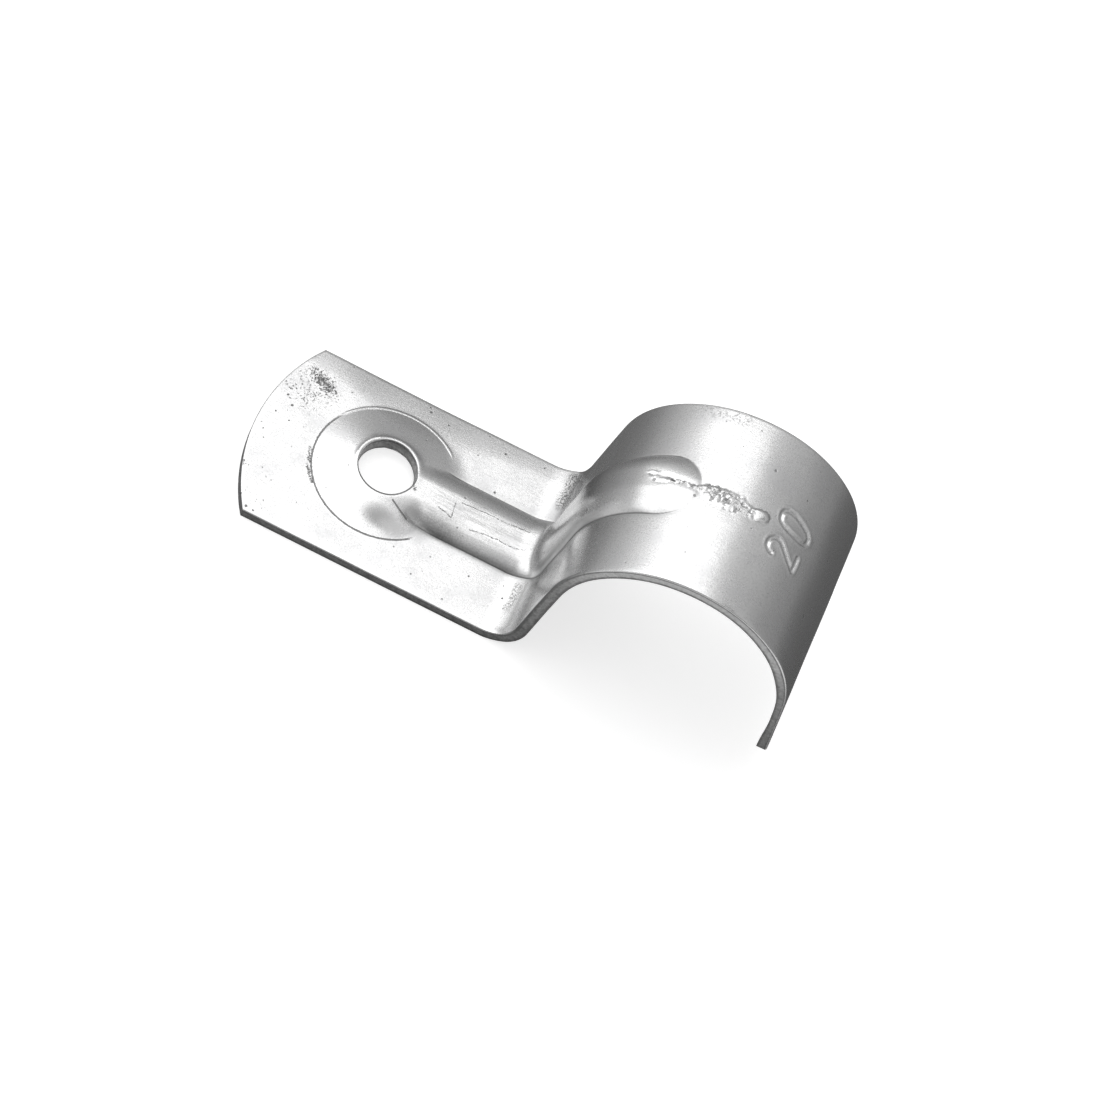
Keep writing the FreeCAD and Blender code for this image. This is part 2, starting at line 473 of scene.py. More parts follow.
@dataclass(frozen=True)
class ZincRun:
    """The frozen run of zinc from the rib's nose down over the loop."""

    path: tuple = ((130.4, 0.85), (127.2, 0.0), (122.5, 0.35), (118.6, 0.42), (113.0, 0.4),
                   (107.3, 0.5), (101.0, 0.4), (95.0, 0.3), (89.5, 0.22), (85.0, 0.18),
                   (81.5, 0.32), (79.2, 0.45))
    thread: float = 0.13
    body: float = 0.85
    neck: float = 0.55
    drop: float = 0.6
    height: float = 0.12
    drop_height: float = 0.24
    sunk: float = 0.05
    reach: float = 2.2
    lumps_along: float = 2.3
    lumps_across: float = 2.8

    def traced(self, run: Array, across: Array, side: SideView) -> tuple[Array, Array]:
        """Distance from the middle of the run, and the share of its length there."""
        path = [(side.on_loop(angle), place) for angle, place in self.path]
        return distance_to_path(run, across, path)

    def lumps(self, run: Array, across: Array, gap: Array) -> Array:
        """Noise near the run, and nothing away from it, where it wouldn't be seen.

        Args:
            run: Distances along the outer face.
            across: Distances across the strip.
            gap: Distances from the middle of the run of zinc.

        Returns:
            The noise at each place.
        """
        lumps = np.zeros(run.shape)
        for index in np.flatnonzero(gap < self.reach):
            place = (run[index] * self.lumps_along, across[index] * self.lumps_across, 4.0)
            lumps[index] = noise.fractal(Vector(place), 0.6, 2.1, 4)
        return lumps

    def relief(self, run: Array, across: Array, side: SideView) -> Array:
        """Lumpy height of the run, with its smooth round end.

        Args:
            run: Distances along the outer face.
            across: Distances across the strip.
            side: The strip's side view.

        Returns:
            Heights over the outer face.
        """
        gap, share = self.traced(run, across, side)
        swell = smooth_step(share, 0.40, 0.52) * (1 - smooth_step(share, 0.76, 0.83))
        width = self.thread + (self.body - self.thread) * swell
        width = width + (self.neck - self.thread) * smooth_step(share, 0.74, 0.82)
        end = smooth_step(share, 0.90, 0.97)
        width = width + (self.drop - self.neck) * end
        lumps = self.lumps(run, across, gap)
        edge = np.clip(gap / width + lumps * 0.5 * (1 - end), 0.0, None)
        round_end = np.sqrt(np.clip(1 - edge ** 2, 0.0, 1.0)) * self.drop_height
        rough = np.exp(-(edge ** 4) * 1.3) * self.height * (1 + lumps * 2.2)
        moat = np.exp(-(gap / (width + 0.25)) ** 2) * self.sunk
        return rough * (1 - end) + round_end * end - moat

    def crust(self, run: Array, across: Array, side: SideView) -> Array:
        """How much of the rough body covers a place, from 0 to 1.

        Args:
            run: Distances along the outer face.
            across: Distances across the strip.
            side: The strip's side view.

        Returns:
            1 under the middle of the rough body and 0 away from it.
        """
        gap, share = self.traced(run, across, side)
        body = smooth_step(share, 0.30, 0.50) * (1 - smooth_step(share, 0.84, 0.92))
        return body * (1 - smooth_step(gap, 0.4, 0.85))


@dataclass(frozen=True)
class StripWear:
    """Rolled edges, ripples, dents and worn places that press and handling leave."""

    half_width: float = 9.45
    cone_x: float = -27.0
    cone_reach: float = 6.0
    far_width: float = 1.9
    far_wider: float = 2.3
    far_power: float = 1.4
    far_slope: float = 0.08
    near_width: float = 1.0
    near_roll: float = 0.03
    ripple: float = 0.012
    dent: tuple = (-26.2, -4.1)
    dent_radii: tuple = (1.5, 0.95)
    dent_depth: float = 0.16
    corner_run: float = 2.5
    corner_width: float = 0.75
    corner_depth: float = 0.14
    leg_worn: float = 0.08
    leg_worn_from: float = 25.0
    leg_worn_inside: float = 0.35
    leg_end_kept: float = 0.22

    def rolled(self, run: Array, across: Array, side: SideView) -> Array:
        """How far the shear has rolled the two long edges down.

        Args:
            run: Distances along the outer face.
            across: Distances across the strip.
            side: The strip's side view.

        Returns:
            Depths below the outer face.
        """
        by_cone = np.exp(-((run - self.cone_x) / self.cone_reach) ** 2)
        width = self.far_width + self.far_wider * by_cone
        far = np.clip((across - self.half_width + width) / width, 0.0, None)
        near = np.clip(-across - self.half_width + self.near_width, 0.0, None)
        on_foot = 1 - smooth_step(run, side.fold_start - 1.0, side.rise_start)
        slope = self.far_slope - 0.01 * by_cone
        far_drop = slope * width / self.far_power * far ** self.far_power
        return far_drop * (0.15 + 0.85 * on_foot) + near ** 2 * self.near_roll

    def relief(self, run: Array, across: Array, side: SideView) -> Array:
        """Small heights over the whole outer face.

        Args:
            run: Distances along the outer face.
            across: Distances across the strip.
            side: The strip's side view.

        Returns:
            Heights, most of them below zero.
        """
        drop = self.rolled(run, across, side)
        worn_from = side.on_loop(self.leg_worn_from)
        drop = drop + self.leg_worn * smooth_step(run, worn_from, side.leg_end)
        wave = np.sin(run * 0.83 + 0.4) * np.sin(across * 0.61 + 1.1) - 1
        (dent_x, dent_y), (radius_x, radius_y) = self.dent, self.dent_radii
        dent = ((run - dent_x) / radius_x) ** 2 + ((across - dent_y) / radius_y) ** 2
        corner = (run - side.fold_start - self.corner_run) / self.corner_width
        inner = 1 - smooth_step(-across, self.half_width - 0.8, self.half_width - 0.2)
        hollow = self.corner_depth * np.exp(-(corner ** 2)) * inner
        return wave * self.ripple - drop - self.dent_depth * np.exp(-dent) - hollow

    def leg_thinned(self, below: float, near: float) -> float:
        """How much thinner the free leg is from inside.

        Args:
            below: Depth below the conduit's axis.
            near: Distance from the strip's near edge.

        Returns:
            The shift of the inner face towards the outer one, less at the near corner.
        """
        depth = np.float64(below)
        kept = self.leg_end_kept * (1 - smooth_step(np.float64(near), 0.3, 1.6))
        worn = self.leg_worn_inside * smooth_step(depth, -5.5, 0.0)
        return float(worn - kept * smooth_step(depth, 2.0, 5.8))


@dataclass
class StrapSheet:
    """The whole strap: a flat strip, pressed, folded, pierced and given its thickness."""

    side: SideView = field(default_factory=SideView)
    foot: FootEnd = field(default_factory=FootEnd)
    rib: PressedRib = field(default_factory=PressedRib)
    digits: SizeDigits = field(default_factory=SizeDigits)
    run: ZincRun = field(default_factory=ZincRun)
    wear: StripWear = field(default_factory=StripWear)
    half_width: float = 9.45
    thickness: float = 1.06
    edge_round: float = 0.15
    edge_row: float = 0.35
    leg_side: float = 6.0
    smooth_angle: float = math.radians(32.0)

    def length_lines(self) -> Array:
        """Grid lines along the strip, close together where there is fine relief.

        Returns:
            Their runs along the outer face.
        """
        foot, side = self.foot, self.side
        return lines_between([
            (foot.tip, 0.5), (foot.tip + 0.5, 0.3), (foot.end_zone, 0.17),
            (foot.hole_x - foot.hole_blend, 0.15), (foot.hole_x - foot.hole_radius, 0.25),
            (foot.hole_x + foot.hole_radius, 0.15), (foot.hole_x + foot.hole_blend, 0.16),
            (-20.6, 0.26), (side.fold_start, 0.15), (side.rise_start, 0.3),
            (side.on_loop(165.0), 0.34), (side.on_loop(123.0), 0.11),
            (side.on_loop(106.5), 0.13), (side.on_loop(76.0), 0.095),
            (side.on_loop(52.0), 0.36), (side.leg_start, 0.6),
            (side.leg_end - self.edge_row, 0.35), (side.leg_end, 1.0)])

    def width_lines(self) -> Array:
        """Grid lines across the strip, with one along each crease of the rib.

        Returns:
            Their distances across the strip.
        """
        foot, rib = self.foot, self.rib
        near, far = rib.shift - rib.half_width, rib.shift + rib.half_width
        low, high = foot.hole_y - foot.hole_radius, foot.hole_y + foot.hole_radius
        return lines_between([
            (-self.half_width, 0.35), (self.edge_row - self.half_width, 0.29), (-6.4, 0.21),
            (near - 0.08, 0.08), (near + 0.08, 0.12), (low, 0.118), (high, 0.12),
            (far - 0.08, 0.08), (far + 0.08, 0.21), (7.4, 0.27),
            (self.half_width - self.edge_row, 0.35), (self.half_width, 1.0)])

    def flat_strip(self) -> bpy.types.Object:
        """The flat strip as a grid with even lines, which are set apart later.

        Returns:
            The new object.
        """
        bpy.ops.object.select_all(action="DESELECT")
        bpy.ops.mesh.primitive_grid_add(x_subdivisions=len(self.length_lines()) - 1,
                                        y_subdivisions=len(self.width_lines()) - 1, size=1.0)
        strip = bpy.context.active_object
        strip.name = "strap_sheet"
        strip.data.name = "strap_sheet"
        return strip

    def heights(self, run: Array, across: Array) -> Array:
        """All relief on the outer face together.

        Args:
            run: Distances along the outer face.
            across: Distances across the strip.

        Returns:
            Heights over the outer face.
        """
        side = self.side
        return (self.rib.relief(run, across, side, self.foot)
                + self.digits.relief(run, across, side)
                + self.run.relief(run, across, side)
                + self.wear.relief(run, across, side))

    def shape(self, strip: bpy.types.Object) -> None:
        """Spaces the lines, rounds the foot's end, presses the relief and folds the strip.

        Args:
            strip: The flat strip, which is changed.
        """
        rows, columns = self.length_lines(), self.width_lines()
        places = np.zeros(len(strip.data.vertices) * 3)
        strip.data.vertices.foreach_get("co", places)
        places = places.reshape(-1, 3)
        row = np.rint((places[:, 0] + 0.5) * (len(rows) - 1)).astype(int)
        column = np.rint((places[:, 1] + 0.5) * (len(columns) - 1)).astype(int)
        run, across = rows[row], columns[column]
        square = np.maximum(np.abs(run - self.foot.hole_x), np.abs(across - self.foot.hole_y))
        run, across = self.foot.pulled_round(run, across)
        run = self.foot.rounded(run, across)
        height = self.heights(run, across)
        # The crease and crease_shade fields carry painted shade along the rib's foot; crust marks
        # the zinc run's rough body.
        line = self.rib.crease(run, across, self.side, self.foot)
        crease_shade = self.rib.crease(run, across, self.side, self.foot, self.rib.crease_shade_width)
        crust = self.run.crust(run, across, self.side)
        for name, values in zip(FIELDS, (line, crease_shade, crust)):
            kept = strip.data.attributes.new(name, "FLOAT", "POINT")
            kept.data.foreach_set("value", values)
        x, z, normal = self.side.stations(run)
        limit_x, _, limit_z = ((edge - HAIR) / METRES for edge in CAD_BOX[1])
        places[:, 0] = np.minimum(x + height * np.cos(normal), limit_x)
        places[:, 1] = across
        places[:, 2] = np.minimum(z + height * np.sin(normal), limit_z)
        strip.data.vertices.foreach_set("co", (places * METRES).ravel())
        strip.data.update()
        self.pierce(strip, square)

    def pierce(self, strip: bpy.types.Object, square: Array) -> None:
        """Deletes the faces inside the screw hole.

        Args:
            strip: The shaped sheet, still one face thick.
            square: Each vertex's distance from the hole's centre in grid squares.
        """
        mesh = strip.data
        inside = square < self.foot.hole_radius + GRID_SLACK
        select_only(mesh, faces=[f.index for f in mesh.polygons
                                 if all(inside[v] for v in f.vertices)])
        bpy.ops.object.mode_set(mode="EDIT")
        bpy.ops.mesh.select_mode(type="FACE")
        bpy.ops.mesh.delete(type="FACE")
        bpy.ops.object.mode_set(mode="OBJECT")

    def thicken(self, strip: bpy.types.Object) -> int:
        """Gives the sheet its even thickness inwards, so that the rib is hollow below.

        Args:
            strip: The pierced sheet, still one face thick.

        Returns:
            How many vertices the outer face has. They are the first ones of the mesh.
        """
        outer = len(strip.data.vertices)
        solid = strip.modifiers.new("thickness", "SOLIDIFY")
        solid.thickness = self.thickness * METRES
        solid.offset = -1.0
        solid.use_even_offset = True
        solid.use_quality_normals = True
        solid.material_offset_rim = Skin.SHEARED.value
        bpy.context.view_layer.objects.active = strip
        bpy.ops.object.modifier_apply(modifier=solid.name)
        return outer

    def form_hole(self, place: Vector, on_outside: bool) -> None:
        """Sets a vertex of the foot on the hole's straight wall, or flares its upper rim.

        Args:
            place: The vertex's own coordinates, which are changed.
            on_outside: Whether it belongs to the outer face.
        """
        foot = self.foot
        centre_x, centre_y = foot.hole_x * METRES, foot.hole_y * METRES
        radius = foot.hole_radius * METRES
        away = math.hypot(place.x - centre_x, place.y - centre_y)
        if away < radius:
            place.x = centre_x + (place.x - centre_x) * radius / away
            place.y = centre_y + (place.y - centre_y) * radius / away
            away = radius
        if on_outside and away < foot.hole_blend * METRES:
            turn = math.atan2(place.y - centre_y, place.x - centre_x)
            shift = foot.flared(away / METRES, turn) * METRES
            place.x += shift * math.cos(turn)
            place.y += shift * math.sin(turn)

    def true_up(self, strip: bpy.types.Object, outer: int) -> None:
        """Forms the hole, makes the foot's underside flat and thins the free leg.

        Args:
            strip: The thickened sheet.
            outer: How many of its first vertices belong to the outer face.
        """
        floor = (self.side.foot_level - self.thickness) * METRES
        low, high = CAD_BOX[0][1] + HAIR, CAD_BOX[1][1] - HAIR
        for vertex in strip.data.vertices:
            place = vertex.co
            if place.z < 0:
                self.form_hole(place, vertex.index < outer)
            place.z = max(place.z, floor)
            place.y = min(max(place.y, low), high)
            if vertex.index >= outer and place.x > self.leg_side * METRES:
                near = place.y / METRES + self.half_width
                place.x += self.wear.leg_thinned(-place.z / METRES, near) * METRES

    def round_edges(self, strip: bpy.types.Object, outer: int) -> None:
        """Rounds the sheared edges on the outer face and the hole's rolled rim.

        Args:
            strip: The thickened sheet.
            outer: How many of its first vertices belong to the outer face.
        """
        mesh = strip.data
        depth = mesh.attributes.new("depth", "FLOAT", "POINT")
        depth.data.foreach_set("value", [float(i >= outer) for i in range(len(mesh.vertices))])
        for name in FIELDS:
            values = mesh.attributes[name].data
            for index in range(outer, len(mesh.vertices)):
                values[index].value = 0.0
        wall = set()
        for face in mesh.polygons:
            if face.material_index == Skin.SHEARED.value:
                wall.update(face.edge_keys)
        rim = [edge.index for edge in mesh.edges
               if edge.key in wall and max(edge.vertices) < outer]
        select_only(mesh, edges=rim)
        bpy.ops.object.mode_set(mode="EDIT")
        bpy.ops.mesh.select_mode(type="EDGE")
        bpy.ops.mesh.bevel(offset=self.edge_round * METRES, offset_type="OFFSET", segments=3,
                           profile=0.5, clamp_overlap=True, material=Skin.PLATED.value)
        bpy.ops.mesh.select_all(action="DESELECT")
        bpy.ops.object.mode_set(mode="OBJECT")

    def build(self, plated: bpy.types.Material, sheared: bpy.types.Material) -> bpy.types.Object:
        """Models the strap and dresses it.

        Args:
            plated: Finish of the rolled faces.
            sheared: Finish of the sheared edges.

        Returns:
            The finished piece.
        """
        strip = self.flat_strip()
        strip.data.materials.append(plated)
        strip.data.materials.append(sheared)
        self.shape(strip)
        outer = self.thicken(strip)
        self.true_up(strip, outer)
        self.round_edges(strip, outer)
        bpy.ops.object.select_all(action="DESELECT")
        strip.select_set(True)
        bpy.context.view_layer.objects.active = strip
        bpy.ops.object.shade_smooth_by_angle(angle=self.smooth_angle)
        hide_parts("strap")
        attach(strip, "root")
        return strip


def select_only(mesh: bpy.types.Mesh, faces: list[int] | None = None,
                edges: list[int] | None = None) -> None:
    """Selects the named faces or edges of a mesh and nothing else.

    Args:
        mesh: The mesh.
        faces: Numbers of the faces, if any.
        edges: Numbers of the edges, if any.
    """
    chosen_faces = np.zeros(len(mesh.polygons), bool)
    chosen_edges = np.zeros(len(mesh.edges), bool)
    chosen_points = np.zeros(len(mesh.vertices), bool)
    if faces:
        chosen_faces[faces] = True
    if edges:
        chosen_edges[edges] = True
        for index in edges:
            chosen_points[list(mesh.edges[index].vertices)] = True
    mesh.polygons.foreach_set("select", chosen_faces)
    mesh.edges.foreach_set("select", chosen_edges)
    mesh.vertices.foreach_set("select", chosen_points)


class Value:
    """One number socket of a shader, which Python expressions turn into Math nodes."""

    def __init__(self, shader: "Shader", socket: bpy.types.NodeSocket) -> None:
        """Wraps a socket of a shader."""
        self.shader = shader
        self.socket = socket

    def maths(self, operation: str, *others: "Value | float") -> "Value":
        """A Math node on this value and others."""
        return self.shader.maths(operation, self, *others)

    def __add__(self, other: "Value | float") -> "Value":
        """Sum."""
        return self.maths("ADD", other)

    __radd__ = __add__

    def __sub__(self, other: "Value | float") -> "Value":
        """Difference."""
        return self.maths("SUBTRACT", other)

    def __rsub__(self, other: float) -> "Value":
        """Difference from a number."""
        return self.shader.maths("SUBTRACT", other, self)

    def __mul__(self, other: "Value | float") -> "Value":
        """Product."""
        return self.maths("MULTIPLY", other)

    __rmul__ = __mul__

    def __truediv__(self, other: "Value | float") -> "Value":
        """Quotient."""
        return self.maths("DIVIDE", other)

    def __rtruediv__(self, other: float) -> "Value":
        """Quotient of a number by this value."""
        return self.shader.maths("DIVIDE", other, self)

    def __pow__(self, other: "Value | float") -> "Value":
        """Power."""
        return self.maths("POWER", other)

    def clamped(self) -> "Value":
        """The value kept between 0 and 1."""
        return self.maths("MINIMUM", 1.0).maths("MAXIMUM", 0.0)

    def step(self, start: float, stop: float) -> "Value":
        """A soft step from 0 at start to 1 at stop. Start may be above stop.

        Args:
            start: Where it is 0.
            stop: Where it is 1.

        Returns:
            The step.
        """
        settings = {"interpolation_type": "SMOOTHSTEP"}
        if start < stop:
            links = {"Value": self, "From Min": start, "From Max": stop}
            return self.shader.node("ShaderNodeMapRange", settings, links)
        links = {"Value": self, "From Min": stop, "From Max": start, "To Min": 1.0, "To Max": 0.0}
        return self.shader.node("ShaderNodeMapRange", settings, links)

    def within(self, start: float, full: float, fading: float, gone: float) -> "Value":
        """A soft window: 0 at start, 1 from full to fading, and 0 again at gone."""
        return self.step(start, full) * self.step(gone, fading)

    def rising(self, start: float, stop: float, low: float, high: float) -> "Value":
        """A soft rise from low at start to high at stop."""
        return self.step(start, stop) * (high - low) + low

    def toward(self, other: "Value | float", share: "Value") -> "Value":
        """The value moved towards another one by a share of the way."""
        return self + share * (other - self)


def squares(*parts: Value) -> Value:
    """The sum of the squares of values.

    Args:
        parts: The values.

    Returns:
        The sum.
    """
    total = parts[0] * parts[0]
    for part in parts[1:]:
        total = total + part * part
    return total


def strongest(marks: list[Value]) -> Value:
    """The largest of several values at each place.

    Args:
        marks: The values.

    Returns:
        The largest.
    """
    together = marks[0]
    for mark in marks[1:]:
        together = together.maths("MAXIMUM", mark)
    return together


class Shader:
    """A material's node tree, written as Python expressions."""

    def __init__(self, name: str) -> None:
        """Starts a material with an empty tree.

        Args:
            name: The material's name.
        """
        self.material = bpy.data.materials.new(name)
        self.material.use_nodes = True
        self.tree = self.material.node_tree
        self.tree.nodes.clear()

    def surface(self, value: Value) -> bpy.types.Material:
        """Links the finished surface to the output and gives the material.

        Args:
            value: The surface.

        Returns:
            The material.
        """
        output = self.tree.nodes.new("ShaderNodeOutputMaterial")
        self.tree.links.new(value.socket, output.inputs["Surface"])
        return self.material

    def node(self, kind: str, settings: dict, links: dict, output: int | str = 0) -> Value:
        """Adds any node.

        Args:
            kind: The node's type.
            settings: Its own settings, which are set first.
            links: Values or links of its inputs, by name or number.
            output: Which output is wanted.

        Returns:
            The wanted output.
        """
        made = self.tree.nodes.new(kind)
        for name, setting in settings.items():
            setattr(made, name, setting)
        for name, link in links.items():
            if isinstance(link, Value):
                self.tree.links.new(link.socket, made.inputs[name])
            else:
                made.inputs[name].default_value = link
        return Value(self, made.outputs[output])

    def maths(self, operation: str, *values: Value | float) -> Value:
        """A Math node with the named operation."""
        return self.node("ShaderNodeMath", {"operation": operation}, dict(enumerate(values)))

    def mix(self, share: Value | float, first: Value | tuple, second: Value | tuple) -> Value:
        """A colour between two colours."""
        return self.node("ShaderNodeMix", {"data_type": "RGBA"},
                         {0: share, 6: first, 7: second}, 2)

    def place(self) -> Value:
        """The place on the piece in millimetres."""
        whole = self.node("ShaderNodeTexCoord", {}, {}, "Object")
        return self.node("ShaderNodeMapping", {}, {"Vector": whole, "Scale": (1000.0,) * 3})

    def field(self, name: str) -> Value:
        """A number that the piece's vertices carry."""
        return self.node("ShaderNodeAttribute", {"attribute_name": name}, {}, "Fac")

    def parts(self, vector: Value) -> tuple[Value, Value, Value]:
        """The three coordinates of a vector.

        Args:
            vector: The vector.

        Returns:
            Its X, Y and Z.
        """
        split = self.node("ShaderNodeSeparateXYZ", {}, {0: vector}).socket.node
        return tuple(Value(self, out) for out in split.outputs)

    def noise(self, place: Value, scale: float, detail: float = 3.0, rough: float = 0.55) -> Value:
        """Noise of a fineness in lumps per millimetre."""
        return self.node("ShaderNodeTexNoise", {},
                         {"Vector": place, "Scale": scale, "Detail": detail, "Roughness": rough})

    def stretched(self, place: Value, scale: tuple) -> Value:
        """The place squeezed or drawn out along its axes."""
        return self.node("ShaderNodeMapping", {}, {"Vector": place, "Scale": scale})

    def finish(self, base: Value | tuple, roughness: Value, height: Value) -> bpy.types.Material:
        """Puts a metal surface together.

        Args:
            base: Base colour.
            roughness: Roughness.
            height: Fine relief in millimetres.

        Returns:
            The material.
        """
        relief = {"Strength": 1.0, "Distance": METRES, "Height": height}
        links = {"Base Color": base, "Metallic": 1.0, "Roughness": roughness,
                 "Normal": self.node("ShaderNodeBump", {}, relief)}
        return self.surface(self.node("ShaderNodeBsdfPrincipled", {}, links))

    def scratch(self, x: Value, y: Value, ends: tuple, width: float) -> Value:
        """A straight scratch seen from above.

        Args:
            x: First coordinate of the place.
            y: Second coordinate of the place.
            ends: Both coordinates of its start and of its end.
            width: Half its width.

        Returns:
            1 on the scratch and 0 away from it.
        """
        start_x, start_y, end_x, end_y = ends
        run_x, run_y = end_x - start_x, end_y - start_y
        length = run_x ** 2 + run_y ** 2
        gap_x, gap_y = x - start_x, y - start_y
        share = ((gap_x * run_x + gap_y * run_y) / length).clamped()
        gap_x, gap_y = gap_x - share * run_x, gap_y - share * run_y
        return (squares(gap_x, gap_y) ** 0.5).step(width, width * 0.3)


@dataclass(frozen=True)
class Ground:
    """The places on the strap and the noises that its marks are made from."""

    shader: Shader
    place: Value
    x: Value
    y: Value
    z: Value
    cloud: Value
    grain: Value
    fine: Value
    sand: Value
    streak: Value
    on_foot: Value

    @classmethod
    def laid(cls, shader: Shader) -> "Ground":
        """Adds the nodes to a material.

        Args:
            shader: The material's tree.

        Returns:
            The places and noises.
        """
        place = shader.place()
        x, y, z = shader.parts(place)
        drawn = shader.stretched(place, (0.5, 6.0, 0.5))
        return cls(shader, place, x, y, z,
                   cloud=shader.noise(place, 0.35, 4.0, 0.6),
                   grain=shader.noise(place, 4.5, 4.0, 0.7),
                   fine=shader.noise(place, 9.0, 2.0, 0.6),
                   sand=shader.noise(place, 6.5, 3.0, 0.8),
                   streak=shader.noise(drawn, 1.0, 3.0, 0.6),
                   on_foot=z.step(-6.0, -7.0))


@dataclass(frozen=True)
class ZincPlate:
    """Bright zinc on rolled steel, with cloudy patches, pits, stains and scuffs, and with painted
    shade and a painted highlight along its creases, ring and edges.
    """

    pale: tuple = (0.82, 0.82, 0.82, 1.0)
    cloudy: tuple = (0.77, 0.77, 0.775, 1.0)
    # Colour of dull zinc, also used for painted shade towards the foot's far edge and along the
    # rib's foot.
    dull_and_shade: tuple = (0.55, 0.55, 0.55, 1.0)
    # Colour of the painted shade by the cone, on the rib's near flank and up the upright.
    shade_tone: tuple = (0.34, 0.34, 0.34, 1.0)
    stain: tuple = (0.15, 0.15, 0.15, 1.0)
    # Colour of scuffs, scratches and burrs, also used for lines of painted shade.
    line: tuple = (0.18, 0.18, 0.18, 1.0)
    # Colour of the painted highlight on the far side of the cone's ring.
    highlight_tone: tuple = (0.95, 0.95, 0.95, 1.0)
    roughness: float = 0.25
    ring_radius: float = 6.6
    hole_x: float = -27.7
    hole_y: float = 0.47
    hole_edge: float = 2.62
    crown_scratches: tuple = ((-21.09, 0.38, -20.91, -1.25), (-22.41, -0.85, -20.91, -1.25),
                              (-19.03, -1.42, -16.7, -1.2), (-16.7, -1.2, -13.9, -0.9),
                              (-20.6, 0.67, -14.2, 1.0))
    # Crease lines beside the cone: painted shade in the colour, with a slight groove in the bump.
    cone_crease_lines: tuple = ((-26.1, -2.2, -25.0, -2.75), (-25.0, -2.75, -24.3, -3.05))
    burrs: tuple = ((-34.5, -0.6, -33.94, -2.48), (-33.94, -2.48, -33.1, -3.75),
                    (-39.05, -4.9, -38.9, -5.2), (-24.95, -0.1, -24.8, -0.35))
    spots: tuple = ((-19.0, 8.07, 0.16), (-17.32, -5.17, 0.11), (-26.48, 8.56, 0.15),
                    (-26.7, 9.0, 0.1), (-18.42, 3.86, 0.14), (-37.56, 2.5, 0.14),
                    (-38.3, 3.3, 0.12), (-21.9, -7.61, 0.09), (-13.9, -5.7, 0.12),
                    (-15.4, 8.6, 0.1), (-24.6, 8.1, 0.12), (-38.6, 1.2, 0.1), (-37.9, 4.3, 0.1),
                    (-38.9, -1.0, 0.09), (-37.2, 0.9, 0.08), (-36.5, 3.4, 0.09),
                    (-37.1, -8.95, 0.16), (-36.4, -9.02, 0.11), (-38.0, -8.0, 0.1))

    def ring_line(self, on: Ground) -> Value:
        """The fine coined line where the cone meets the foot, open towards the rib, with the
        hole's near rim. In the colour, the ring's near side and the rim are painted shade and the
        ring's far side is a painted highlight.

        Args:
            on: The strap's places and noises.

        Returns:
            1 on the line and 0 away from it.
        """
        away = squares(on.x - self.hole_x, on.y - self.hole_y) ** 0.5
        off = (away - self.ring_radius + (on.grain - 0.5) * 0.16).maths("ABSOLUTE")
        rim = (away - self.hole_edge).maths("ABSOLUTE").step(0.11, 0.04) * on.y.step(1.8, 0.2)
        off = off / on.y.rising(3.2, 4.8, 0.10, 0.18)
        return (off.step(1.0, 0.2) * on.x.step(-22.9, -23.6) + rim) * on.on_foot

    def stain_patch(self, on: Ground) -> Value:
        """The speckled stain near the foot's far corner.

        Args:
            on: The strap's places and noises.

        Returns:
            1 where it is darkest.
        """
        core_x, core_y = on.x + 36.1, on.y - 6.15
        along, aside = core_x * 0.89 - core_y * 0.45, core_x * 0.45 + core_y * 0.89
        core = (along * along / 2.0 + aside * aside / 0.42) ** 0.5
        around = (squares(on.x + 36.9, on.y - 5.0) / 6.0) ** 0.5
        grain = on.shader.noise(on.place, 4.4, 4.0, 0.8)
        strong = (grain + core.step(1.5, 0.0) * 0.14).step(0.54, 0.68) * core.step(1.7, 0.9)
        specks = (grain + around.step(1.2, 0.0) * 0.05).step(0.60, 0.68) * around.step(1.35, 0.7)
        return (strong * 0.85 + specks * 0.8).clamped()

    def pits(self, on: Ground, scale: float, size: float, kept: float) -> Value:
        """Scattered small pits.

        Args:
            on: The strap's places.
            scale: Cells per millimetre.
            size: Radius of a pit as a share of a cell.
            kept: Share of the cells without a pit.

        Returns:
            1 inside a pit, 0 elsewhere.
        """
        cell = {"feature": "F1", "distance": "EUCLIDEAN"}
        links = {"Vector": on.place, "Scale": scale}
        gap = on.shader.node("ShaderNodeTexVoronoi", cell, links)
        tint = on.shader.node("ShaderNodeTexVoronoi", cell, links, 1)
        pick, width, _ = on.shader.parts(tint)
        reach = size * (0.5 + width)
        return (gap / reach).step(1.0, 0.55) * pick.step(kept, kept + 0.02)

    def fold_scuffs(self, on: Ground) -> Value:
        """Worm-like scuffs where the tool rubbed the fold on both sides of the rib.

        Args:
            on: The strap's places and noises.

        Returns:
            1 on a scuff and 0 away from it.
        """
        y = on.y
        across = on.x + (on.shader.noise(on.place, 0.9, 2.0, 0.5) - 0.5) * 0.8
        far = across.within(-13.3, -12.9, -12.5, -12.1) * y.step(4.4, 5.6)
        near = across.within(-13.5, -13.2, -12.9, -12.6) * y.step(-3.4, -4.8)
        sides = far * y.step(9.3, 8.7) + near * y.step(-7.4, -5.8) * 0.55
        grain = on.shader.noise(on.place, 3.8, 2.0, 0.6)
        worms = (grain - 0.5).maths("ABSOLUTE").step(0.045, 0.012)
        return worms * sides.clamped() * on.z.step(-3.0, -5.0)

